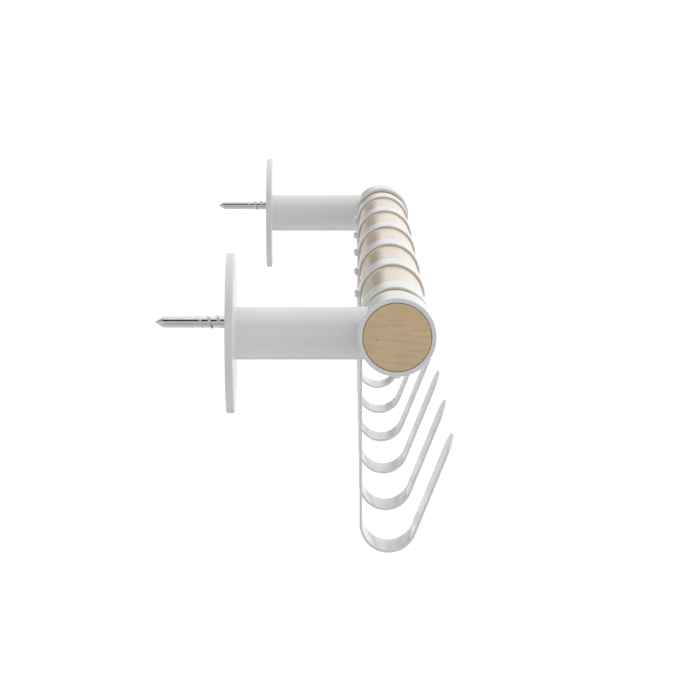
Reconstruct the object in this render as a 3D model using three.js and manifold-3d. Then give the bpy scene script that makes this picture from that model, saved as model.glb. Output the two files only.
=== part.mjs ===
// A wall-mounted coat rail. A round wooden rail is carried by two white steel brackets, and six flat
// steel strips wrapped over the rail form the hooks. Each bracket is a wall plate, a stand-off tube and
// an end collar. The rail hangs on two wall screws by keyholes in the plates and lifts up to come off.
//
// Millimetres. X runs along the rail, +Y points into the wall and +Z is up. The origin lies on the wall
// plane, midway between the two wall plates and level with their centres.
import * as THREE from 'three';
import { mergeVertices } from 'three/addons/utils/BufferGeometryUtils.js';
import Module from 'manifold-3d';

// Rail
const RAIL_LENGTH = 914;
const RAIL_RADIUS = 14.85;
const RAIL_CHAMFER = 0.5;
const RAIL_STANDOFF = 74.2; // from the wall to the rail's axis

// Brackets
const COLLAR_LENGTH = 42;
const COLLAR_OUTER_RADIUS = 17.05;
const COLLAR_INNER_RADIUS = 15.05;
const COLLAR_CHAMFER = 0.3;
const TUBE_OUTER_RADIUS = 11.5;
const TUBE_INNER_RADIUS = 10;
const PLATE_RADIUS = 35;
const PLATE_THICKNESS = 3.6;
const PLATE_CHAMFER = 0.4;
const WELD_GAP = 0.3;

// Keyhole in each wall plate: a wide entry below, a narrow slot above
const KEYHOLE_RISE = 4.9; // slot end above the plate's centre, entry hole the same distance below
const KEYHOLE_ENTRY_RADIUS = 5;

// Hooks
const HOOK_COUNT = 6;
const HOOK_PITCH = 145;
const STRIP_WIDTH = 36;
const STRIP_THICKNESS = 1.15;
const STRIP_RAIL_GAP = 0.05;
const WRAP_END_DEG = 220; // front end of the wrap, counted from the wall side over the top
const HOOK_DROP = 104.8; // rail axis to the lowest point of the bend
const BEND_OUTER_RADIUS = 13.1;
const ARM_LEAN_DEG = 67.8; // arm above horizontal
const ARM_LENGTH = 47.3;
const TIP_ROUND = 9; // height of the half-ellipse that rounds the arm's end

// Screws
const HOLE_CLEARANCE = 0.3;
const HEAD_SEAT_GAP = 0.05;
const PILOT_END_GAP = 0.5;
const RAIL_SCREW = { shankRadius: 1.6, length: 13, point: 3 };
const HOOK_SCREW_HEAD = { radius: 2.4, height: 2.4 };
const COLLAR_SCREW_HEAD = { radius: 2.7, height: 2.9 };
const WALL_SCREW = {
  head: { radius: 4.2, height: 2.8 },
  neckRadius: 2.75,
  neckTaper: 4.5,
  shankRadius: 2.5,
  reach: 31.5,
  point: 3.7,
};
const THREAD = { start: 3.2, pitch: 4.1, turns: 2.3, beadRadius: 0.7, sink: 0.7 };

// Fineness of the round shapes
const ROUND_SEGMENTS = 48;
const SMALL_SEGMENTS = 16;
const ARC_DIVISIONS = 12;
const DOME_STEPS = 5;
const THREAD_STEPS = 40;
const THREAD_SIDES = 6;

const WHITE_STEEL = { color: 0xf2f2f3, roughness: 0.42, metalness: 0 };
const PALE_WOOD = { color: 0xdcc7a6, roughness: 0.6, metalness: 0 };
const ZINC_STEEL = { color: 0xb9bcbf, roughness: 0.3, metalness: 0.9 };

const LATHE_AXIS = new THREE.Vector3(0, 1, 0);
const ALONG_RAIL = new THREE.Vector3(1, 0, 0);
const INTO_WALL = new THREE.Vector3(0, 1, 0);
const TO_ROOM = new THREE.Vector3(0, -1, 0);
const UP = new THREE.Vector3(0, 0, 1);
const DOWN = new THREE.Vector3(0, 0, -1);
const CUT_MARGIN = 1;

const stripInnerRadius = RAIL_RADIUS + STRIP_RAIL_GAP;
const stripOuterRadius = stripInnerRadius + STRIP_THICKNESS;
const keyholeSlotRadius = WALL_SCREW.neckRadius + HOLE_CLEARANCE;
const bracketX = (RAIL_LENGTH - COLLAR_LENGTH) / 2;
const bracketPositions = { left: -bracketX, right: bracketX };
const hookPositions = Array.from(
  { length: HOOK_COUNT },
  (_, i) => (i - (HOOK_COUNT - 1) / 2) * HOOK_PITCH,
);
const radians = THREE.MathUtils.degToRad;

// The bend in the hook's side view, with x towards the wall and y up from the rail's axis
const bendInnerRadius = BEND_OUTER_RADIUS - STRIP_THICKNESS;
const bendCentre = new THREE.Vector2(stripOuterRadius - BEND_OUTER_RADIUS, BEND_OUTER_RADIUS - HOOK_DROP);
const bendEnd = -radians(90 + ARM_LEAN_DEG);

const wasm = await Module();
wasm.setup();

// A geometry as a manifold-3d solid: its vertices merged, with nothing but their positions.
function toSolid(geometry) {
  const bare = geometry.clone();
  bare.deleteAttribute('normal');
  bare.deleteAttribute('uv');
  const merged = mergeVertices(bare, 1e-4);
  return new wasm.Manifold(
    new wasm.Mesh({
      numProp: 3,
      vertProperties: merged.attributes.position.array,
      triVerts: new Uint32Array(merged.index.array),
    }),
  );
}

function toGeometry(solid) {
  const { vertProperties, triVerts } = solid.getMesh();
  const geometry = new THREE.BufferGeometry();
  geometry.setAttribute('position', new THREE.BufferAttribute(vertProperties, 3));
  geometry.setIndex(new THREE.BufferAttribute(triVerts, 1));
  geometry.computeVertexNormals();
  return geometry;
}

function cut(geometry, cutters) {
  return toGeometry(cutters.reduce((solid, cutter) => solid.subtract(toSolid(cutter)), toSolid(geometry)));
}

// A turned shape. The profile lists [radius, height] pairs, and its axis points along direction.
function turned(profile, direction, segments = ROUND_SEGMENTS) {
  const points = profile.map(([radius, height]) => new THREE.Vector2(radius, height));
  const turn = new THREE.Quaternion().setFromUnitVectors(LATHE_AXIS, direction);
  return new THREE.LatheGeometry(points, segments).applyQuaternion(turn);
}

function rod(radius, from, to, direction, segments) {
  const profile = [[0, from], [radius, from], [radius, to], [0, to]];
  return turned(profile, direction, segments);
}

function ring(innerRadius, outerRadius, from, to, chamfer, direction) {
  const profile = [
    [innerRadius, from + chamfer],
    [innerRadius + chamfer, from],
    [outerRadius - chamfer, from],
    [outerRadius, from + chamfer],
    [outerRadius, to - chamfer],
    [outerRadius - chamfer, to],
    [innerRadius + chamfer, to],
    [innerRadius, to - chamfer],
    [innerRadius, from + chamfer],
  ];
  return turned(profile, direction);
}

// The upper half of a dome, from its rim on the seat up to its crown on the axis.
function domeProfile(head, seat) {
  return Array.from({ length: DOME_STEPS + 1 }, (_, i) => {
    const angle = (i / DOME_STEPS) * (Math.PI / 2);
    const radius = i === DOME_STEPS ? 0 : head.radius * Math.cos(angle);
    return [radius, seat + head.height * Math.sin(angle)];
  });
}

function makeRail() {
  const half = RAIL_LENGTH / 2;
  const profile = [
    [0, -half],
    [RAIL_RADIUS - RAIL_CHAMFER, -half],
    [RAIL_RADIUS, -half + RAIL_CHAMFER],
    [RAIL_RADIUS, half - RAIL_CHAMFER],
    [RAIL_RADIUS - RAIL_CHAMFER, half],
    [0, half],
  ];
  const hookPilots = hookPositions.map((x) => pilotHole(INTO_WALL, stripOuterRadius).translate(x, 0, 0));
  const collarPilots = Object.values(bracketPositions).map((x) =>
    pilotHole(DOWN, COLLAR_OUTER_RADIUS).translate(x, 0, 0),
  );
  return cut(turned(profile, ALONG_RAIL), [...hookPilots, ...collarPilots]);
}

// The blind hole that a rail screw needs, for a screw whose head sits at the given radius.
function pilotHole(direction, seatRadius) {
  const bottom = seatRadius - RAIL_SCREW.length - PILOT_END_GAP;
  const mouth = seatRadius + CUT_MARGIN;
  return rod(RAIL_SCREW.shankRadius + HOLE_CLEARANCE, bottom, mouth, direction, SMALL_SEGMENTS);
}

function makeRailScrew(head, direction, seatRadius) {
  const seat = seatRadius + HEAD_SEAT_GAP;
  const tip = seat - RAIL_SCREW.length;
  const profile = [
    [0, tip],
    [RAIL_SCREW.shankRadius, tip + RAIL_SCREW.point],
    [RAIL_SCREW.shankRadius, seat],
    ...domeProfile(head, seat),
  ];
  return turned(profile, direction, SMALL_SEGMENTS);
}

function makeCollar() {
  const half = COLLAR_LENGTH / 2;
  const body = ring(COLLAR_INNER_RADIUS, COLLAR_OUTER_RADIUS, -half, half, COLLAR_CHAMFER, ALONG_RAIL);
  return cut(body, [pilotHole(DOWN, COLLAR_OUTER_RADIUS)]);
}

// The stand-off tube, from the wall plate to the collar, its end coped to the collar's round side.
function makeTube() {
  const start = PLATE_THICKNESS + WELD_GAP;
  const copeRadius = COLLAR_OUTER_RADIUS + WELD_GAP;
  const copeDepth = Math.sqrt(copeRadius ** 2 - TUBE_OUTER_RADIUS ** 2);
  const end = RAIL_STANDOFF - copeDepth + CUT_MARGIN;
  const cope = rod(copeRadius, -PLATE_RADIUS, PLATE_RADIUS, ALONG_RAIL).translate(0, -RAIL_STANDOFF, 0);
  return cut(ring(TUBE_INNER_RADIUS, TUBE_OUTER_RADIUS, start, end, 0, TO_ROOM), [cope]);
}

function makePlate() {
  const profile = [
    [0, 0],
    [PLATE_RADIUS, 0],
    [PLATE_RADIUS, PLATE_THICKNESS - PLATE_CHAMFER],
    [PLATE_RADIUS - PLATE_CHAMFER, PLATE_THICKNESS],
    [0, PLATE_THICKNESS],
  ];
  return cut(turned(profile, TO_ROOM), [makeKeyholeCutter()]);
}

function makeKeyholeCutter() {
  const shoulder = Math.asin(keyholeSlotRadius / KEYHOLE_ENTRY_RADIUS);
  const shape = new THREE.Shape();
  const right = Math.PI / 2 - shoulder;
  const left = Math.PI / 2 + shoulder;
  shape.absarc(0, -KEYHOLE_RISE, KEYHOLE_ENTRY_RADIUS, right, left, true);
  shape.absarc(0, KEYHOLE_RISE, keyholeSlotRadius, Math.PI, 0, true);
  shape.closePath();
  const depth = PLATE_THICKNESS + 2 * CUT_MARGIN;
  const options = { depth, bevelEnabled: false, curveSegments: ARC_DIVISIONS };
  return new THREE.ExtrudeGeometry(shape, options).rotateX(Math.PI / 2).translate(0, CUT_MARGIN, 0);
}

// A point on the arm, in the hook's side view: how far up the arm, and on which radius of the bend.
function armPoint(distance, radius) {
  const lean = radians(ARM_LEAN_DEG);
  const x = bendCentre.x + radius * Math.cos(bendEnd) - distance * Math.cos(lean);
  const y = bendCentre.y + radius * Math.sin(bendEnd) + distance * Math.sin(lean);
  return new THREE.Vector2(x, y);
}

// The side view of a hook, with x towards the wall and y up, measured from the rail's axis. It runs
// from the wrap's front end over the rail, down behind it, round the bend and up the arm, then back.
function hookOutline() {
  const wrapEnd = radians(WRAP_END_DEG);
  const outerTip = armPoint(ARM_LENGTH, BEND_OUTER_RADIUS);
  const innerTip = armPoint(ARM_LENGTH, bendInnerRadius);
  const shape = new THREE.Shape();
  shape.absarc(0, 0, stripOuterRadius, wrapEnd, 0, true);
  shape.absarc(bendCentre.x, bendCentre.y, BEND_OUTER_RADIUS, 0, bendEnd, true);
  shape.lineTo(outerTip.x, outerTip.y);
  shape.lineTo(innerTip.x, innerTip.y);
  shape.absarc(bendCentre.x, bendCentre.y, bendInnerRadius, bendEnd, 0, false);
  shape.absarc(0, 0, stripInnerRadius, 0, wrapEnd, false);
  shape.closePath();
  return shape;
}

// What the rounded tip leaves out: a band across the arm's end with a half-ellipse taken from it.
function makeTipCutter() {
  const halfWidth = STRIP_WIDTH / 2;
  const reach = halfWidth + CUT_MARGIN;
  const shape = new THREE.Shape();
  shape.moveTo(-reach, -TIP_ROUND);
  shape.absellipse(0, -TIP_ROUND, halfWidth, TIP_ROUND, Math.PI, 0, true);
  shape.lineTo(reach, -TIP_ROUND);
  shape.lineTo(reach, CUT_MARGIN);
  shape.lineTo(-reach, CUT_MARGIN);
  shape.closePath();
  const depth = STRIP_THICKNESS + 2 * CUT_MARGIN;
  const options = { depth, bevelEnabled: false, curveSegments: ARC_DIVISIONS };
  const end = armPoint(ARM_LENGTH, (BEND_OUTER_RADIUS + bendInnerRadius) / 2);
  const upArm = new THREE.Vector3(0, -Math.cos(radians(ARM_LEAN_DEG)), Math.sin(radians(ARM_LEAN_DEG)));
  const outOfArm = new THREE.Vector3().crossVectors(ALONG_RAIL, upArm);
  const placed = new THREE.Matrix4().makeBasis(ALONG_RAIL, upArm, outOfArm).setPosition(0, end.x, end.y);
  return new THREE.ExtrudeGeometry(shape, options).translate(0, 0, -depth / 2).applyMatrix4(placed);
}

function makeHook() {
  const options = { depth: STRIP_WIDTH, bevelEnabled: false, curveSegments: ARC_DIVISIONS };
  const sideways = new THREE.Matrix4().makeBasis(INTO_WALL, UP, ALONG_RAIL);
  const strip = new THREE.ExtrudeGeometry(hookOutline(), options)
    .translate(0, 0, -STRIP_WIDTH / 2)
    .applyMatrix4(sideways);
  return cut(strip, [makeTipCutter(), pilotHole(INTO_WALL, stripOuterRadius)]);
}

// The middle of the wall screw's thread. It sinks into the shank towards the point.
class ThreadCurve extends THREE.Curve {
  getPoint(t, target = new THREE.Vector3()) {
    const angle = t * THREAD.turns * 2 * Math.PI;
    const radius = WALL_SCREW.shankRadius - THREAD.sink * t;
    const y = THREAD.start + t * THREAD.turns * THREAD.pitch;
    return target.set(-radius * Math.cos(angle), y, radius * Math.sin(angle));
  }
}

function makeThread() {
  const bead = new THREE.Shape();
  bead.absarc(0, 0, THREAD.beadRadius, 0, 2 * Math.PI, false);
  return new THREE.ExtrudeGeometry(bead, {
    steps: THREAD_STEPS,
    curveSegments: THREAD_SIDES / 2,
    extrudePath: new ThreadCurve(),
  });
}

// A wall screw along the slot end of a keyhole, its head just in front of the plate.
function makeWallScrew() {
  const seat = PLATE_THICKNESS + HOLE_CLEARANCE;
  const { reach, point, shankRadius, neckRadius, neckTaper } = WALL_SCREW;
  const profile = [
    [0, -reach],
    [shankRadius, point - reach],
    [shankRadius, -neckTaper],
    [neckRadius, 0],
    [neckRadius, seat],
    ...domeProfile(WALL_SCREW.head, seat),
  ];
  const body = turned(profile, TO_ROOM, SMALL_SEGMENTS);
  return toGeometry(toSolid(body).add(toSolid(makeThread())));
}

function addPart(group, name, geometry, look, x = 0, z = 0) {
  const mesh = new THREE.Mesh(geometry, new THREE.MeshStandardMaterial(look));
  mesh.name = name;
  mesh.position.set(x, 0, z);
  group.add(mesh);
}

// Everything that is centred on the rail's axis.
function makeRailGroup() {
  const group = new THREE.Group();
  group.position.y = -RAIL_STANDOFF;
  addPart(group, 'wood_rail', makeRail(), PALE_WOOD);
  hookPositions.forEach((x, i) => {
    const screw = makeRailScrew(HOOK_SCREW_HEAD, INTO_WALL, stripOuterRadius);
    addPart(group, `hook_${i + 1}`, makeHook(), WHITE_STEEL, x);
    addPart(group, `hook_screw_${i + 1}`, screw, ZINC_STEEL, x);
  });
  for (const [side, x] of Object.entries(bracketPositions)) {
    const screw = makeRailScrew(COLLAR_SCREW_HEAD, DOWN, COLLAR_OUTER_RADIUS);
    addPart(group, `${side}_end_collar`, makeCollar(), WHITE_STEEL, x);
    addPart(group, `${side}_collar_screw`, screw, ZINC_STEEL, x);
  }
  return group;
}

// Everything that is centred on a wall plate.
function makeWallGroup() {
  const group = new THREE.Group();
  for (const [side, x] of Object.entries(bracketPositions)) {
    addPart(group, `${side}_wall_plate`, makePlate(), WHITE_STEEL, x);
    addPart(group, `${side}_standoff_tube`, makeTube(), WHITE_STEEL, x);
    addPart(group, `${side}_wall_screw`, makeWallScrew(), ZINC_STEEL, x, KEYHOLE_RISE);
  }
  return group;
}

const coatRail = new THREE.Group();
coatRail.add(makeRailGroup(), makeWallGroup());

export default coatRail;
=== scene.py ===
"""The looks of a wall-mounted coat rail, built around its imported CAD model.

The CAD says where each piece is and how large it is. Every CAD solid is replaced here by a finer mesh
of the same size, with rounded edges, weld beads, keyholes, screw threads and driver recesses, in
procedural wood, white powder coat or zinc.

Metres throughout. +X runs along the rail, +Y into the wall and +Z is up.
"""

import math

import bmesh
import bpy
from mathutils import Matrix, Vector


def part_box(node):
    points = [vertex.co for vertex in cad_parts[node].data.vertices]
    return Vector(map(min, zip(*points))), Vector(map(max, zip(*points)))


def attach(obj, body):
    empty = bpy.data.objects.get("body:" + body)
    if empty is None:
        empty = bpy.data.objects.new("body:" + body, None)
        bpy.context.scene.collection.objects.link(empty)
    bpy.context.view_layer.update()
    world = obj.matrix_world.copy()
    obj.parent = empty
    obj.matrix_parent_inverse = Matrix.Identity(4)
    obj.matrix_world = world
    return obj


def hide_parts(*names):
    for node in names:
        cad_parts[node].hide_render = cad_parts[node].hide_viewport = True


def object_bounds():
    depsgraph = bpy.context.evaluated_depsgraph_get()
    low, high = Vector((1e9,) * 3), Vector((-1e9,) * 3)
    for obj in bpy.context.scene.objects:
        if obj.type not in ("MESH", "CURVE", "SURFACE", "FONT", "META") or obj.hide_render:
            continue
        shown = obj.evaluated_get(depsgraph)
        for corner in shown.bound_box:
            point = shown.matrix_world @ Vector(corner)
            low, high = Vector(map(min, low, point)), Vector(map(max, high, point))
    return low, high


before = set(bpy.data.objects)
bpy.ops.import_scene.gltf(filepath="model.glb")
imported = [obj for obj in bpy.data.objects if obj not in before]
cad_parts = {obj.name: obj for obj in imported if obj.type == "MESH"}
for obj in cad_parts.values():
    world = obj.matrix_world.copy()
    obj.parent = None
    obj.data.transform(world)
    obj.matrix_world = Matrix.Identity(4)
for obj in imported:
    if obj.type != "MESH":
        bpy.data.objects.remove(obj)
cad_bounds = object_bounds()

MM = 0.001

# Rail
RAIL_EDGE = 0.55 * MM
GRAIN_PITH = (0.0, 12 * MM, 75 * MM)  # the tree's middle, from the rail's axis
PIN_KNOT = (-457 * MM, -65.6 * MM, -1.2 * MM)  # a small dark knot in the rail's left end
KNOT_RADIUS = 0.9 * MM
KNOT_HEART = 0.2 * MM

# Brackets
COLLAR_INNER_RADIUS = 15.05 * MM
COLLAR_EDGE = 0.35 * MM
TUBE_INNER_RADIUS = 10 * MM
WELD_RADIUS = 0.7 * MM
WELD_SINK = 0.04 * MM  # how far a bead goes into its neighbour
PLATE_FRONT_EDGE = 0.6 * MM
PLATE_BACK_EDGE = 0.25 * MM

# Keyhole in each wall plate
KEYHOLE_RISE = 4.9 * MM
KEYHOLE_ENTRY_RADIUS = 5 * MM
KEYHOLE_SLOT_RADIUS = 3.05 * MM
KEYHOLE_EDGE = 0.25 * MM
KEYHOLE_STEPS = 32

# Hooks, in the order of the strip's length, then how finely it is divided
STRIP_THICKNESS = 1.15 * MM
STRIP_EDGE = 0.36 * MM
STRIP_CORNER = 1.2 * MM
WRAP_END = math.radians(220)
BEND_OUTER_RADIUS = 13.1 * MM
ARM_LEAN = math.radians(67.8)
ARM_LENGTH = 47.3 * MM
TIP_ROUND = 9 * MM
TIP_LAST_ANGLE = math.radians(86)
STRIP_COLUMNS = (-1, -0.96, -0.5, -0.16, 0.16, 0.5, 0.96, 1)  # places across the strip, as shares
STRIP_STEP = 8 * MM

# Drill holes for the rail's screws
HOLE_RADIUS = 1.9 * MM
HOLE_SPARE = 0.5 * MM  # the depth below a screw's point
HOLE_GUARD = 1 * MM  # from a hole to the rings of points beside it

# Screws
RAIL_SCREW = {"core": 1.15 * MM, "shank": 1.6 * MM, "plain": 3.2 * MM, "point": 3 * MM}
RAIL_THREAD = {"pitch": 1.35 * MM, "height": 0.42 * MM, "half_width": 0.36 * MM}
RAIL_THREAD_FADE = (0.1, 0.3)  # shares of its length over which it rises, and runs out
RAIL_SCREW_LENGTH = 13 * MM
WALL_SCREW = {"neck": 2.75 * MM, "shank": 2.4 * MM, "taper": 4.5 * MM, "point": 3.7 * MM}
WALL_SCREW_SEAT = 3.9 * MM
WALL_THREAD = {"pitch": 4.1 * MM, "height": 0.8 * MM, "half_width": 0.6 * MM}
WALL_THREAD_START = 3.2 * MM
WALL_THREAD_TURNS = 2.3
WALL_THREAD_PHASE = 0.5  # of a turn
WALL_THREAD_RISE = 0.08  # the share of its length over which it rises
WALL_THREAD_DECAY = 0.8
THREAD_CREST = 1.5  # the larger, the sharper
HEAD_RIM = 0.12 * MM
HEAD_CHAMFER = 0.3 * HEAD_RIM
POINT_TIP = 0.35 * MM

# Cross recess for a driver: its reach, half width and height above the crown, as shares of the head's
# radius
RECESS_BOTTOM = (0.2, 0.102, -0.52)
RECESS_TOP = (0.62, 0.17, 0.1)

# Fineness
ROUND = 96
SMALL_ROUND = 48
EDGE_STEPS = 4
DOME_STEPS = 10
ARC_STEP = math.radians(4)
THREAD_STEP = 0.1 * MM
SUPPORT = 0.3 * MM  # from a rounding to the point that keeps its flat side flat
SHARP_ANGLE = math.radians(32)
SAME_POINT = 0.01 * MM  # points nearer than this become one
ROUNDING_SLACK = 1e-6  # keeps a whole number of steps from becoming one more

# Colours in linear light
WHITE_DULL = (0.838, 0.841, 0.848, 1)
WHITE_CLEAN = (0.868, 0.871, 0.877, 1)
WHITE_SPECK = (0.74, 0.745, 0.755, 1)
WOOD_PALE = (0.755, 0.56, 0.325, 1)
WOOD_LIGHT = (0.815, 0.62, 0.378, 1)
WOOD_RING = (0.62, 0.435, 0.235, 1)
WOOD_LAYER = (0.63, 0.405, 0.20, 1)
WOOD_FIBRE = (0.64, 0.46, 0.25, 1)
WOOD_PORE = (0.45, 0.30, 0.16, 1)
WOOD_KNOT = (0.42, 0.23, 0.10, 1)
ZINC_DULL = (0.64, 0.65, 0.67, 1)
ZINC_BRIGHT = (0.72, 0.73, 0.74, 1)
FLOOR_DULL = (0.90, 0.90, 0.90, 1)
FLOOR_CLEAN = (0.92, 0.92, 0.92, 1)
CLEAR_WHITE = (1, 1, 1, 1)

# Studio
FLOOR_DEPTH = 1.2
FLOOR_REACH = 90
FLOOR_GLOW = 0.25
CAMERA_PLACE = (-2.2145, -0.0538, 0.1599)
CAMERA_PITCH = math.radians(5.373)
CAMERA_LENS = 210.3
CAMERA_SENSOR = 36
CAMERA_REACH = 4 * FLOOR_REACH

# Light from all round, as in a white studio: its mean, and how it grows along each axis
LIGHT_MEAN = 1.10
LIGHT_SLOPE = (-0.04, -0.20, 0.06)
# Soft dark flags in it: a direction, the cosines between which a flag fades in, and its depth. A
# negative depth makes a bright card.
FLAGS = (
    ((0.0, 0.0, -1.0), (0.2, 0.7), 0.26),  # the floor
    ((0.0, -1.0, 0.3), (0.5, 0.98), 0.20),  # the room
    ((-1.0, 0.0, 0.1), (0.1, 0.9), 0.47),  # beyond the near end
    ((-0.77, 0.0, 0.64), (0.935, 0.965), 0.70),  # above the near end
    ((-0.13, 0.82, 0.56), (0.88, 0.96), 0.60),  # over the wall
    ((1.0, 0.115, 0.03), (0.9945, 0.9980), 0.82),  # beyond the far end, on the wall's side
    ((1.0, 0.12, 0.36), (0.93, 0.98), 0.26),  # beyond the far end, above
    ((1.0, 0.0, -0.60), (0.93, 0.985), 0.36),  # beyond the far end, below
    ((1.0, -0.08, -0.17), (0.9880, 0.9980), -0.24),  # beyond the far end, on the room's side
)

X_AXIS = Vector((1, 0, 0))
INTO_WALL = Vector((0, 1, 0))
TO_ROOM = Vector((0, -1, 0))
UP = Vector((0, 0, 1))
DOWN = Vector((0, 0, -1))
SQUARE = ((-1, -1), (1, -1), (1, 1), (-1, 1))

SIDES = ("left", "right")
HOOKS = range(1, 7)


# ---------------------------------------------------------------------------------------- meshes


class Shell:
    """Points and faces of one closed surface while it is being built."""

    def __init__(self):
        self.points = []
        self.faces = []

    def ring(self, points):
        """Adds a ring of points and gives their numbers."""
        first = len(self.points)
        self.points.extend(points)
        return list(range(first, len(self.points)))

    def join(self, a, b):
        """Faces between two closed rings. A ring of one point is a pole."""
        count = max(len(a), len(b))
        for i in range(count):
            j = (i + 1) % count
            if len(a) == 1:
                self.faces.append((a[0], b[j], b[i]))
            elif len(b) == 1:
                self.faces.append((a[i], a[j], b[0]))
            else:
                self.faces.append((a[i], a[j], b[j], b[i]))


def add_object(name, shell):
    """A smooth-shaded object from a shell, its faces turned outwards."""
    mesh = bpy.data.meshes.new(name)
    mesh.from_pydata(shell.points, [], shell.faces)
    shape = bmesh.new()
    shape.from_mesh(mesh)
    bmesh.ops.recalc_face_normals(shape, faces=shape.faces)
    shape.to_mesh(mesh)
    shape.free()
    shade(mesh)
    piece = bpy.data.objects.new(name, mesh)
    bpy.context.scene.collection.objects.link(piece)
    return piece


def shade(mesh):
    """Smooth shading, but for the sharp edges."""
    mesh.shade_smooth()
    mesh.set_sharp_from_angle(angle=SHARP_ANGLE)


def join_close_points(mesh):
    """Joins the almost equal points that a cut leaves, and drops the faces without area between them."""
    shape = bmesh.new()
    shape.from_mesh(mesh)
    bmesh.ops.remove_doubles(shape, verts=shape.verts, dist=SAME_POINT)
    bmesh.ops.dissolve_degenerate(shape, edges=shape.edges, dist=SAME_POINT)
    shape.to_mesh(mesh)
    shape.free()


def cut(piece, shells):
    """Takes closed shells out of a piece."""
    tools = [add_object("tool", shell) for shell in shells]
    for tool in tools:
        boolean = piece.modifiers.new("cut", "BOOLEAN")
        boolean.operation = "DIFFERENCE"
        boolean.solver = "EXACT"
        boolean.object = tool
    graph = bpy.context.evaluated_depsgraph_get()
    mesh = bpy.data.meshes.new_from_object(piece.evaluated_get(graph))
    piece.modifiers.clear()
    piece.data = mesh
    join_close_points(mesh)
    shade(mesh)
    for tool in tools:
        bpy.data.objects.remove(tool)
    return piece


def rounded(corners):
    """A profile with its corners rounded. Corners are (radius, height, rounding); a support point beside
    each rounding keeps the flats flat under smooth shading."""
    points = []
    for i, (radius, height, rounding) in enumerate(corners):
        here = Vector((radius, height))
        if not rounding:
            points.append(here)
            continue
        before = (Vector(corners[i - 1][:2]) - here).normalized()
        after = (Vector(corners[(i + 1) % len(corners)][:2]) - here).normalized()
        half = before.angle(after) / 2
        reach = rounding / math.tan(half)
        centre = here + (before + after).normalized() * rounding / math.sin(half)
        start, end = here + before * reach - centre, here + after * reach - centre
        points.append(here + before * (reach + SUPPORT))
        for share in spread(0, 1, EDGE_STEPS):
            points.append(centre + start.slerp(end, share).normalized() * rounding)
        points.append(here + after * (reach + SUPPORT))
    return points


def turned(profile, origin, direction, segments=ROUND, closed=False, ridge=None):
    """A turned shape: (radius, height) points round an axis. A ridge adds its own height to the radius."""
    turn = UP.rotation_difference(direction)
    shell = Shell()
    rings = []
    for radius, height in profile:
        if radius == 0:
            rings.append(shell.ring([origin + direction * height]))
            continue
        ring = []
        for i in range(segments):
            angle = 2 * math.pi * i / segments
            reach = radius + (ridge(angle, height) if ridge else 0)
            ring.append(origin + turn @ Vector((reach * math.cos(angle), reach * math.sin(angle), height)))
        rings.append(shell.ring(ring))
    pairs = list(zip(rings, rings[1:]))
    if closed:
        pairs.append((rings[-1], rings[0]))
    for a, b in pairs:
        shell.join(a, b)
    return shell


def spread(start, end, count):
    """Values from start to end, both included, in count equal steps."""
    return [start + (end - start) * i / count for i in range(count + 1)]


def stepped(start, end, step):
    """Values from start to end, both included, no more than step apart."""
    return spread(start, end, max(1, math.ceil(abs(end - start) / step - ROUNDING_SLACK)))


def slope(start, end, step):
    """Profile points from one (radius, height) to another, no more than step apart in height."""
    (start_radius, start_height), (end_radius, end_height) = start, end
    steepness = (end_radius - start_radius) / (end_height - start_height)
    heights = stepped(start_height, end_height, step)
    return [(start_radius + (height - start_height) * steepness, height) for height in heights]


def rod(radius, start, end, origin, direction):
    """A thin cylinder between two heights on its axis."""
    return turned([(0, start), (radius, start), (radius, end), (0, end)], origin, direction, SMALL_ROUND)


def centre_of(node):
    low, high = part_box(node)
    return (low + high) / 2


def size_of(node):
    low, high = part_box(node)
    return high - low


# ------------------------------------------------------------------------------------ the rail

rail_centre = centre_of("wood_rail")
rail_radius = size_of("wood_rail").z / 2
rail_half = size_of("wood_rail").x / 2
collar_outer_radius = size_of("left_end_collar").z / 2
strip_outer_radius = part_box("hook_1")[1].y - rail_centre.y


def rail_hole(x, direction, seat_radius):
    """The blind hole for a rail screw whose head sits at the given distance from the rail's axis."""
    origin = Vector((x, rail_centre.y, rail_centre.z))
    bottom = seat_radius - RAIL_SCREW_LENGTH - HOLE_SPARE
    return rod(HOLE_RADIUS, bottom, seat_radius + HOLE_GUARD, origin, direction)


def hook_hole(number):
    return rail_hole(centre_of(f"hook_{number}").x, INTO_WALL, strip_outer_radius)


def collar_hole(side):
    return rail_hole(centre_of(f"{side}_end_collar").x, DOWN, collar_outer_radius)


def make_rail():
    """A round rail with softened ends. Its rings lie close together beside each hole."""
    drilled = [f"hook_{i}" for i in HOOKS] + [f"{side}_end_collar" for side in SIDES]
    holes = sorted(centre_of(node).x for node in drilled)
    guard = HOLE_RADIUS + HOLE_GUARD
    corners = [
        (0, -rail_half, 0),
        (rail_radius / 2, -rail_half, 0),
        (rail_radius, -rail_half, RAIL_EDGE),
        *((rail_radius, x + offset, 0) for x in holes for offset in (-guard, guard)),
        (rail_radius, rail_half, RAIL_EDGE),
        (rail_radius / 2, rail_half, 0),
        (0, rail_half, 0),
    ]
    piece = add_object("rail_wood", turned(rounded(corners), rail_centre, X_AXIS))
    return cut(piece, [hook_hole(i) for i in HOOKS] + [collar_hole(side) for side in SIDES])


# --------------------------------------------------------------------------------- the brackets


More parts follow.
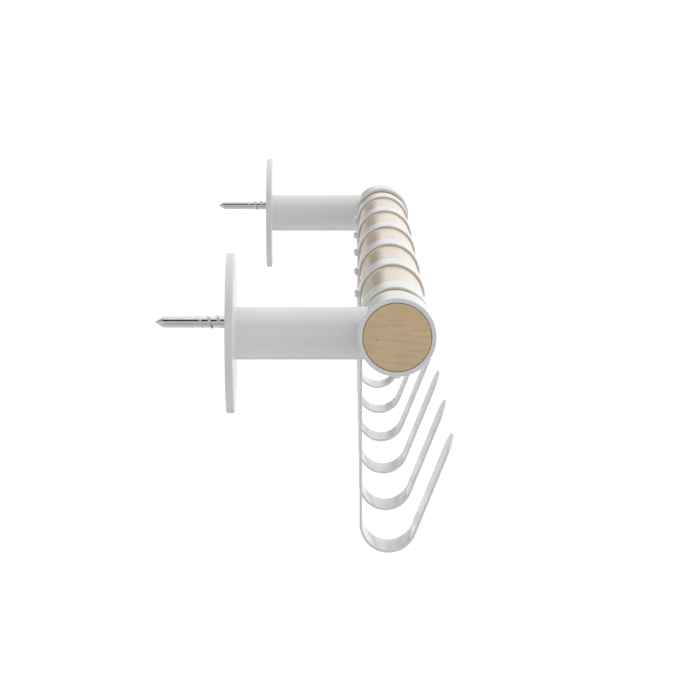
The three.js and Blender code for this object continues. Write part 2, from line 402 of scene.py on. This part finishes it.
def make_collar(side):
    """The steel sleeve round the rail's end, drilled from below for its screw."""
    node = f"{side}_end_collar"
    half = size_of(node).x / 2
    guard = HOLE_RADIUS + HOLE_GUARD
    corners = [
        (COLLAR_INNER_RADIUS, -half, COLLAR_EDGE),
        (collar_outer_radius, -half, COLLAR_EDGE),
        (collar_outer_radius, -guard, 0),
        (collar_outer_radius, guard, 0),
        (collar_outer_radius, half, COLLAR_EDGE),
        (COLLAR_INNER_RADIUS, half, COLLAR_EDGE),
        (COLLAR_INNER_RADIUS, guard, 0),
        (COLLAR_INNER_RADIUS, -guard, 0),
    ]
    sleeve = turned(rounded(corners), centre_of(node), X_AXIS, closed=True)
    return cut(add_object(f"{side}_collar_sleeve", sleeve), [collar_hole(side)])


def make_tube(side):
    """The stand-off tube. Its far end is coped to the collar, and a weld bead flares both ends."""
    node = f"{side}_standoff_tube"
    centre = centre_of(node)
    radius = size_of(node).x / 2
    plate_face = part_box(f"{side}_wall_plate")[0].y + WELD_SINK

    def collar_face(angle, reach):
        """The y of the collar's surface, a reach away from the tube's axis."""
        rise = reach * math.sin(angle)
        return rail_centre.y + math.sqrt(collar_outer_radius**2 - rise**2) - WELD_SINK

    def ring(reach, place):
        """Points round the tube. The place is a share of the way from the plate to the collar, and a
        distance beyond it."""
        share, beyond = place
        points = []
        for i in range(ROUND):
            angle = 2 * math.pi * i / ROUND
            x, z = reach * math.cos(angle), reach * math.sin(angle)
            y = plate_face + (collar_face(angle, reach) - plate_face) * share + beyond
            points.append(Vector((centre.x + x, y, centre.z + z)))
        return points

    quarter = spread(0, math.pi / 2, EDGE_STEPS)
    flare = [(WELD_RADIUS * (1 - math.sin(a)), WELD_RADIUS * (1 - math.cos(a))) for a in quarter]
    plate_end = [(radius + out, (0, -along)) for out, along in flare]
    collar_end = [(radius + out, (1, along)) for out, along in reversed(flare)]
    shell = Shell()
    rings = [shell.ring(ring(*place)) for place in plate_end + collar_end]
    rings += [shell.ring(ring(TUBE_INNER_RADIUS, (share, 0))) for share in (1, 0)]
    for a, b in zip(rings, rings[1:] + rings[:1]):
        shell.join(a, b)
    return add_object(f"{side}_tube_welded", shell)


def keyhole_outline(grow):
    """A keyhole's outline about the plate's centre: a wide entry below and a narrow slot above."""
    entry, slot = KEYHOLE_ENTRY_RADIUS + grow, KEYHOLE_SLOT_RADIUS + grow
    shoulder = math.acos(slot / entry)
    low_arc = spread(math.pi - shoulder, 2 * math.pi + shoulder, 2 * KEYHOLE_STEPS)
    high_arc = spread(0, math.pi, KEYHOLE_STEPS)
    outline = [(entry * math.cos(a), -KEYHOLE_RISE + entry * math.sin(a)) for a in low_arc]
    return outline + [(slot * math.cos(a), KEYHOLE_RISE + slot * math.sin(a)) for a in high_arc]


def keyhole_cutter(centre, back, front):
    """A keyhole right through the plate, flared at both faces. The front face has the lower y."""
    shell = Shell()
    layers = [
        (back + KEYHOLE_EDGE, 2 * KEYHOLE_EDGE),
        (back - KEYHOLE_EDGE, 0),
        (front + KEYHOLE_EDGE, 0),
        (front - KEYHOLE_EDGE, 2 * KEYHOLE_EDGE),
    ]
    rings = [shell.ring([Vector((centre.x, back + KEYHOLE_EDGE, centre.z))])]
    for y, grow in layers:
        outline = keyhole_outline(grow)
        rings.append(shell.ring([Vector((centre.x + x, y, centre.z + z)) for x, z in outline]))
    rings.append(shell.ring([Vector((centre.x, front - KEYHOLE_EDGE, centre.z))]))
    for a, b in zip(rings, rings[1:]):
        shell.join(a, b)
    return shell


def make_plate(side):
    """The round wall plate, its front edge softened, with the keyhole that it hangs by."""
    low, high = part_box(f"{side}_wall_plate")
    radius, thickness = (high.z - low.z) / 2, high.y - low.y
    centre = (low + high) / 2
    corners = [
        (0, 0, 0),
        (radius, 0, PLATE_BACK_EDGE),
        (radius, thickness, PLATE_FRONT_EDGE),
        (0, thickness, 0),
    ]
    disc = turned(rounded(corners), Vector((centre.x, high.y, centre.z)), TO_ROOM)
    return cut(add_object(f"{side}_plate_disc", disc), [keyhole_cutter(centre, high.y, low.y)])


# ------------------------------------------------------------------------------------ the hooks


class StripPath:
    """The middle of a hook's strip, seen from the side and measured along its length: over the rail,
    down behind it, round the bend and up the arm. Sideways is y, towards the wall."""

    def __init__(self, lowest):
        self.wrap_radius = strip_outer_radius - STRIP_THICKNESS / 2
        self.bend_radius = BEND_OUTER_RADIUS - STRIP_THICKNESS / 2
        self.bend_y = strip_outer_radius - BEND_OUTER_RADIUS
        self.bend_z = lowest + BEND_OUTER_RADIUS
        self.bend_angle = math.pi / 2 + ARM_LEAN
        self.wrap = self.wrap_radius * WRAP_END
        self.drop = self.wrap - self.bend_z
        self.bend = self.drop + self.bend_radius * self.bend_angle
        self.end = self.bend + ARM_LENGTH

    def at(self, s, offset):
        """The point s along the strip, offset outwards from its middle."""
        if s < self.wrap:
            return self.turn(0, 0, self.wrap_radius + offset, WRAP_END - s / self.wrap_radius)
        if s < self.drop:
            return self.wrap_radius + offset, self.wrap - s
        if s < self.bend:
            angle = (self.drop - s) / self.bend_radius
            return self.turn(self.bend_y, self.bend_z, self.bend_radius + offset, angle)
        y, z = self.turn(self.bend_y, self.bend_z, self.bend_radius + offset, -self.bend_angle)
        return y - (s - self.bend) * math.cos(ARM_LEAN), z + (s - self.bend) * math.sin(ARM_LEAN)

    @staticmethod
    def turn(y, z, radius, angle):
        return y + radius * math.cos(angle), z + radius * math.sin(angle)

    def stations(self, start, end):
        """Places between start and end, close together wherever the strip is curved or drilled."""
        past_hole = self.wrap + HOLE_RADIUS + HOLE_GUARD
        marks = [start, self.wrap, past_hole, self.drop, self.bend, end]
        wrap_step, bend_step = self.wrap_radius * ARC_STEP, self.bend_radius * ARC_STEP
        steps = [wrap_step, HOLE_RADIUS, STRIP_STEP, bend_step, STRIP_STEP]
        places = [start]
        for a, b, step in zip(marks, marks[1:], steps):
            places += stepped(a, b, step)[1:]
        return places


def strip_edge(path, half_width):
    """One long edge of the flat strip, as (s, half width, outward normal) from end to end: rounded
    corners, the long side and the half-ellipse of the tip."""
    edge = []
    for angle in spread(0, math.pi / 2, EDGE_STEPS):
        s = STRIP_CORNER * (1 - math.cos(angle))
        width = half_width - STRIP_CORNER * (1 - math.sin(angle))
        edge.append((s, width, (-math.cos(angle), math.sin(angle))))
    side_end = path.end - TIP_ROUND
    edge += [(s, half_width, (0, 1)) for s in path.stations(STRIP_CORNER, side_end)[1:]]
    for angle in stepped(0, TIP_LAST_ANGLE, ARC_STEP)[1:]:
        normal = Vector((half_width * math.sin(angle), TIP_ROUND * math.cos(angle))).normalized()
        edge.append((side_end + TIP_ROUND * math.sin(angle), half_width * math.cos(angle), tuple(normal)))
    return edge


def make_hook(number):
    """A flat strip bent to the hook's side view. Both faces are grids of points, and the rounded rim
    between them follows the strip's outline."""
    node = f"hook_{number}"
    low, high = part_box(node)
    x_middle = (low.x + high.x) / 2
    path = StripPath(low.z - rail_centre.z)
    edge = strip_edge(path, (high.x - low.x) / 2)
    columns = len(STRIP_COLUMNS) - 1
    last = len(edge) - 1
    shell = Shell()

    def point(s, x, offset):
        """The point s along the strip and x across it, offset outwards from its middle."""
        y, z = path.at(s, offset)
        return Vector((x_middle + x, rail_centre.y + y, rail_centre.z + z))

    def outline(inset, offset):
        """A loop of points round the strip, drawn in from its edge."""

        def across(station, shares):
            s, width, (along, out) = edge[station]
            return [(s - along * inset, share * (width - out * inset)) for share in shares]

        loop = across(0, STRIP_COLUMNS[:-1])
        loop += [across(j, [1])[0] for j in range(last)]
        loop += across(last, STRIP_COLUMNS[:0:-1])
        loop += [across(j, [-1])[0] for j in range(last, 0, -1)]
        return [point(s, x, offset) for s, x in loop]

    def fill(loop, offset):
        """The face inside a loop: its inner points, joined to the loop's own."""
        grid = [loop[: columns + 1]]
        for j in range(1, last):
            s, width, (along, out) = edge[j]
            inner = [
                point(s - along * STRIP_EDGE, share * (width - out * STRIP_EDGE), offset)
                for share in STRIP_COLUMNS[1:-1]
            ]
            grid.append([loop[-j], *shell.ring(inner), loop[columns + j]])
        tip = loop[columns + last : 2 * columns + last + 1]
        grid.append(tip[::-1])
        for a, b in zip(grid, grid[1:]):
            for c in range(columns):
                shell.faces.append((a[c], a[c + 1], b[c + 1], b[c]))

    half = STRIP_THICKNESS / 2
    quarter = spread(math.pi / 2, 0, EDGE_STEPS)
    rim = [(STRIP_EDGE * (1 - math.cos(a)), half - STRIP_EDGE * (1 - math.sin(a))) for a in quarter]
    rim += [(inset, -offset) for inset, offset in reversed(rim)]
    loops = [shell.ring(outline(inset, offset)) for inset, offset in rim]
    for a, b in zip(loops, loops[1:]):
        shell.join(a, b)
    fill(loops[0], half)
    fill(loops[-1], -half)
    return cut(add_object(f"hook_strip_{number}", shell), [hook_hole(number)])


# ----------------------------------------------------------------------------------- the screws


def helix_ridge(top, turns, phase, fade, pitch, height, half_width):
    """A right-handed thread as a height to add round a screw's axis. It starts at the place top on
    the axis, phase turns round, and winds down towards the point; fade shapes it along its turns."""

    def ridge(angle, place):
        wound = (top - place) / pitch
        offset = phase - angle / (2 * math.pi)
        nearest = round(wound - offset) + offset
        away = abs(wound - nearest) * pitch / half_width
        if not 0 < nearest < turns or away >= 1:
            return 0
        return height * fade(nearest / turns) * math.cos(away * math.pi / 2) ** THREAD_CREST

    return ridge


def rail_thread_fade(share):
    """A rail screw's thread is at full height but for its ends."""
    rise, run_out = RAIL_THREAD_FADE
    return min(1, share / rise, (1 - share) / run_out)


def wall_thread_fade(share):
    """A wall screw's thread is highest near the plate and dies away towards the point."""
    return min(1, share / WALL_THREAD_RISE) * (1 - share) ** WALL_THREAD_DECAY


def dome(radius, height, seat):
    """A domed head's profile from its seat to its crown, with a small rim."""
    points = [(radius - HEAD_RIM, seat), (radius - HEAD_CHAMFER, seat + HEAD_CHAMFER)]
    for angle in spread(0, math.pi / 2, DOME_STEPS)[:-1]:
        rise = (height - HEAD_RIM) * math.sin(angle)
        points.append((radius * math.cos(angle), seat + HEAD_RIM + rise))
    return points + [(0, seat + height)]


def cross_recess(origin, direction, crown, radius):
    """The two crossed wedges of a driver recess, in a head whose crown is at the given height."""
    turn = UP.rotation_difference(direction)
    wedges = []
    for quarter in (0, math.pi / 2):
        along = Vector((math.cos(quarter), math.sin(quarter), 0))
        across = Vector((-math.sin(quarter), math.cos(quarter), 0))
        shell = Shell()
        rings = []
        for level in (RECESS_BOTTOM, RECESS_TOP):
            reach, half_width, rise = (share * radius for share in level)
            centre = UP * (crown + rise)
            corners = [centre + along * reach * a + across * half_width * b for a, b in SQUARE]
            rings.append(shell.ring([origin + turn @ corner for corner in corners]))
        shell.join(*rings)
        shell.faces += [tuple(ring) for ring in rings]
        wedges.append(shell)
    return wedges


def make_rail_screw(name, node, direction):
    """A round-headed wood screw in the rail, whose head sits on the steel."""
    low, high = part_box(node)
    centre = (low + high) / 2
    extent = high - low
    axis_length = abs(extent.dot(direction))
    head_radius = min(extent) / 2
    origin = centre - direction * axis_length / 2
    core, shank, point = RAIL_SCREW["core"], RAIL_SCREW["shank"], RAIL_SCREW["point"]
    seat = RAIL_SCREW_LENGTH
    plain = seat - RAIL_SCREW["plain"]
    profile = [(0, 0), (POINT_TIP / 2, POINT_TIP / 4)]
    profile += slope((POINT_TIP / 2, POINT_TIP), (core, point), THREAD_STEP)
    profile += slope((core, point), (core, plain), THREAD_STEP)[1:]
    profile += [(shank, plain + shank - core), (shank, seat)]
    profile += dome(head_radius, axis_length - seat, seat)
    turns = (plain - POINT_TIP) / RAIL_THREAD["pitch"]
    thread = helix_ridge(plain, turns, 0, rail_thread_fade, **RAIL_THREAD)
    piece = add_object(name, turned(profile, origin, direction, SMALL_ROUND, ridge=thread))
    return cut(piece, cross_recess(origin, direction, axis_length, head_radius))


def make_wall_screw(side):
    """The screw that the plate hangs on: a domed head behind the tube, a neck and a threaded shank."""
    node = f"{side}_wall_screw"
    low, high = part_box(node)
    centre = centre_of(node)
    origin = Vector((centre.x, 0, centre.z))
    head_radius = size_of(node).x / 2
    tip = -high.y
    neck, shank = (WALL_SCREW["neck"], 0), (WALL_SCREW["shank"], -WALL_SCREW["taper"])
    cone = (WALL_SCREW["shank"], tip + WALL_SCREW["point"])
    profile = [(0, tip), (POINT_TIP / 2, tip + POINT_TIP / 4)]
    profile += slope((POINT_TIP / 2, tip + POINT_TIP), cone, 2 * THREAD_STEP)
    profile += slope(cone, shank, THREAD_STEP)[1:]
    profile += slope(shank, neck, THREAD_STEP)[1:]
    profile.append((WALL_SCREW["neck"], WALL_SCREW_SEAT))
    profile += dome(head_radius, -low.y - WALL_SCREW_SEAT, WALL_SCREW_SEAT)
    wound = (-WALL_THREAD_START, WALL_THREAD_TURNS, WALL_THREAD_PHASE)
    thread = helix_ridge(*wound, wall_thread_fade, **WALL_THREAD)
    piece = add_object(f"{side}_hanging_screw", turned(profile, origin, TO_ROOM, ridge=thread))
    return cut(piece, cross_recess(origin, TO_ROOM, -low.y, head_radius))


# --------------------------------------------------------------------------------- the materials


class Graph:
    """A short way to write a node tree. Inputs that are sockets are linked, and others are set."""

    def __init__(self, tree):
        self.tree = tree

    def add(self, kind, inputs=None, **settings):
        node = self.tree.nodes.new("ShaderNode" + kind)
        for name, value in settings.items():
            setattr(node, name, value)
        for name, value in (inputs or {}).items():
            self.set(node, name, value)
        return node

    def set(self, node, name, value):
        if isinstance(value, bpy.types.NodeSocket):
            self.tree.links.new(value, node.inputs[name])
        else:
            node.inputs[name].default_value = value

    def place(self, scale):
        """The position on the object, in metres, stretched by a scale for each axis."""
        spot = self.add("TexCoord").outputs["Object"]
        return self.add("Mapping", {"Vector": spot, "Scale": scale}).outputs["Vector"]

    def noise(self, scale, detail=3, roughness=0.5):
        """Noise whose grains number scale per metre along each axis."""
        spot = self.place(scale)
        settings = {"Vector": spot, "Scale": 1, "Detail": detail, "Roughness": roughness}
        return self.add("TexNoise", settings).outputs["Fac"]

    def remap(self, value, low, high, to_low, to_high):
        """A value's span from low to high, moved to another span and held inside it."""
        spans = {"Value": value, "From Min": low, "From Max": high, "To Min": to_low, "To Max": to_high}
        return self.add("MapRange", spans).outputs["Result"]

    def mix(self, factor, a, b):
        """From colour a at factor 0 to colour b at 1. A Mix node finds its colour sockets by place."""
        node = self.add("Mix", {0: factor, 6: a, 7: b}, data_type="RGBA")
        return node.outputs[2]

    def lay(self, tone, pattern, low, high, strength, colour):
        """A tone with a colour laid over it, up to a strength, as the pattern goes from low to high."""
        return self.mix(self.remap(pattern, low, high, 0, strength), tone, colour)

    def bump(self, height, strength, distance, normal=None):
        """A surface normal from a height, on top of another normal where one is given."""
        inputs = {"Height": height, "Strength": strength, "Distance": distance}
        if normal:
            inputs["Normal"] = normal
        return self.add("Bump", inputs).outputs["Normal"]


def new_material(name, constants=None):
    """A material with its shader's constant values set on the shader itself."""
    material = bpy.data.materials.new(name)
    material.use_nodes = True
    graph = Graph(material.node_tree)
    shader = material.node_tree.nodes["Principled BSDF"]
    for socket, value in (constants or {}).items():
        shader.inputs[socket].default_value = value
    return material, graph, shader


def powder_coat():
    """Satin white powder coat: a fine orange-peel surface, very slightly uneven in tone and gloss."""
    material, graph, shader = new_material("white_coat")
    drift = graph.noise((28, 28, 28), detail=2)
    speckle = graph.noise((1900, 1900, 1900), detail=1)
    peel = graph.noise((1100, 1100, 1100), detail=2)
    tone = graph.lay(WHITE_DULL, drift, 0.3, 0.7, 1, WHITE_CLEAN)
    tone = graph.lay(tone, speckle, 0.35, 0.75, 0.12, WHITE_SPECK)
    graph.set(shader, "Base Color", tone)
    graph.set(shader, "Roughness", graph.remap(speckle, 0.3, 0.7, 0.17, 0.23))
    graph.set(shader, "Normal", graph.bump(peel, 0.1, 0.05 * MM))
    return material


def pale_wood():
    """Pale lacquered hardwood with its grain along the rail: growth rings, layers, fibres and short
    pores. The pattern fills the solid, so the ends show the same grain cut across."""
    lacquer = {"Coat Weight": 1.0, "Coat Roughness": 0.16, "Specular IOR Level": 0.2}
    material, graph, shader = new_material("lacquered_wood", lacquer)
    spot = graph.add("TexCoord").outputs["Object"]
    axis = Vector((0, rail_centre.y, rail_centre.z)) + Vector(GRAIN_PITH)
    about_pith = graph.add("Mapping", {"Vector": spot, "Location": -axis}).outputs["Vector"]
    waver = {"Vector": about_pith, "Scale": 70, "Distortion": 3.2, "Detail": 2, "Detail Scale": 0.2}
    rings = graph.add("TexWave", waver, wave_type="RINGS", rings_direction="X").outputs["Fac"]
    layers = graph.noise((4, 75, 640), detail=3)
    fibres = graph.noise((9, 900, 900), detail=3)
    streaks = graph.noise((1.6, 120, 120), detail=2)
    pores = graph.noise((55, 2600, 2600), detail=1)
    from_knot = graph.add("VectorMath", {0: spot, 1: PIN_KNOT}, operation="DISTANCE").outputs["Value"]
    tone = graph.lay(WOOD_PALE, streaks, 0.3, 0.7, 1, WOOD_LIGHT)
    tone = graph.lay(tone, rings, 0.45, 1, 0.2, WOOD_RING)
    tone = graph.lay(tone, layers, 0.48, 0.66, 0.42, WOOD_LAYER)
    tone = graph.lay(tone, fibres, 0.35, 0.7, 0.3, WOOD_FIBRE)
    tone = graph.lay(tone, pores, 0.6, 0.74, 0.35, WOOD_PORE)
    tone = graph.lay(tone, from_knot, KNOT_RADIUS, KNOT_HEART, 0.42, WOOD_KNOT)
    graph.set(shader, "Base Color", tone)
    graph.set(shader, "Roughness", graph.remap(fibres, 0.3, 0.7, 0.48, 0.6))
    fine = graph.bump(pores, 0.25, 0.04 * MM)
    graph.set(shader, "Normal", graph.bump(fibres, 0.25, 0.06 * MM, fine))
    return material


def zinc_steel():
    """Bright zinc plate, slightly cloudy and finely scratched."""
    material, graph, shader = new_material("bright_zinc", {"Metallic": 1.0})
    cloud = graph.noise((420, 420, 420), detail=3)
    scratches = graph.noise((2600, 2600, 2600), detail=2)
    tone = graph.lay(ZINC_DULL, cloud, 0.3, 0.7, 1, ZINC_BRIGHT)
    graph.set(shader, "Base Color", tone)
    graph.set(shader, "Roughness", graph.remap(scratches, 0.3, 0.7, 0.08, 0.14))
    graph.set(shader, "Normal", graph.bump(scratches, 0.04, 0.02 * MM))
    return material


# --------------------------------------------------------------------------------- the assembly

WOOD, WHITE, ZINC = "pale_wood", "white_powder_coat", "zinc_steel"
finishes = {WOOD: pale_wood(), WHITE: powder_coat(), ZINC: zinc_steel()}


def dress(piece, node, body, finish):
    """Gives a piece its finish and its body, and hides the CAD node that it stands for."""
    piece.data.materials.clear()
    piece.data.materials.append(finishes[finish])
    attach(piece, body)
    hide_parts(node)


dress(make_rail(), "wood_rail", "rack", WOOD)
for side in SIDES:
    collar_screw = make_rail_screw(f"{side}_collar_wood_screw", f"{side}_collar_screw", DOWN)
    dress(make_collar(side), f"{side}_end_collar", "rack", WHITE)
    dress(make_tube(side), f"{side}_standoff_tube", "rack", WHITE)
    dress(make_plate(side), f"{side}_wall_plate", "rack", WHITE)
    dress(collar_screw, f"{side}_collar_screw", "rack", ZINC)
    dress(make_wall_screw(side), f"{side}_wall_screw", "wall_screws", ZINC)
for number in HOOKS:
    hook_screw = make_rail_screw(f"hook_{number}_wood_screw", f"hook_screw_{number}", INTO_WALL)
    dress(make_hook(number), f"hook_{number}", "rack", WHITE)
    dress(hook_screw, f"hook_screw_{number}", "rack", ZINC)


# ------------------------------------------------------------------------------------ the studio


def make_camera():
    """Looks along the rail from beyond its left end, a little from above."""
    data = bpy.data.cameras.new("camera")
    data.lens = CAMERA_LENS
    data.sensor_width = CAMERA_SENSOR
    data.clip_end = CAMERA_REACH
    camera = bpy.data.objects.new("camera", data)
    camera.location = CAMERA_PLACE
    camera.rotation_euler = (math.pi / 2 - CAMERA_PITCH, 0, -math.pi / 2)
    bpy.context.scene.collection.objects.link(camera)
    bpy.context.scene.camera = camera


def make_floor():
    """A plain pale floor well below the rail, as under anything that hangs on a wall."""
    level = cad_bounds[0].z - FLOOR_DEPTH
    points = [(x * FLOOR_REACH, y * FLOOR_REACH, level) for x, y in SQUARE]
    mesh = bpy.data.meshes.new("floor")
    mesh.from_pydata(points, [], [tuple(range(len(points)))])
    floor = bpy.data.objects.new("floor", mesh)
    bpy.context.scene.collection.objects.link(floor)
    finish = {"Roughness": 0.9, "Emission Color": CLEAR_WHITE, "Emission Strength": FLOOR_GLOW}
    material, graph, shader = new_material("floor", finish)
    drift = graph.noise((3, 3, 3), detail=2)
    graph.set(shader, "Base Color", graph.mix(drift, FLOOR_DULL, FLOOR_CLEAN))
    mesh.materials.append(material)
    floor.visible_diffuse = False
    floor.visible_glossy = False


def make_light():
    """A soft studio light as a world: brighter above and on the room's side, with flags that shape the
    reflections in the metal and the lacquer. The camera itself sees it as plain white."""
    world = bpy.data.worlds.new("studio")
    world.use_nodes = True
    bpy.context.scene.world = world
    graph = Graph(world.node_tree)
    direction = graph.add("TexCoord").outputs["Generated"]

    def along(vector):
        node = graph.add("VectorMath", operation="DOT_PRODUCT")
        graph.set(node, 0, direction)
        graph.set(node, 1, vector)
        return node.outputs["Value"]

    def combine(operation, a, b):
        node = graph.add("Math", operation=operation)
        graph.set(node, 0, a)
        graph.set(node, 1, b)
        return node.outputs["Value"]

    level = combine("ADD", along(LIGHT_SLOPE), LIGHT_MEAN)
    for flag_direction, (rim, core), depth in FLAGS:
        facing = along(Vector(flag_direction).normalized())
        level = combine("SUBTRACT", level, graph.remap(facing, rim, core, 0, depth))
    seen = graph.add("LightPath").outputs["Is Camera Ray"]
    background = world.node_tree.nodes["Background"]
    graph.set(background, "Color", CLEAR_WHITE)
    graph.set(background, "Strength", combine("ADD", level, seen))


make_camera()
make_floor()
make_light()
bpy.context.scene.view_settings.view_transform = "Standard"
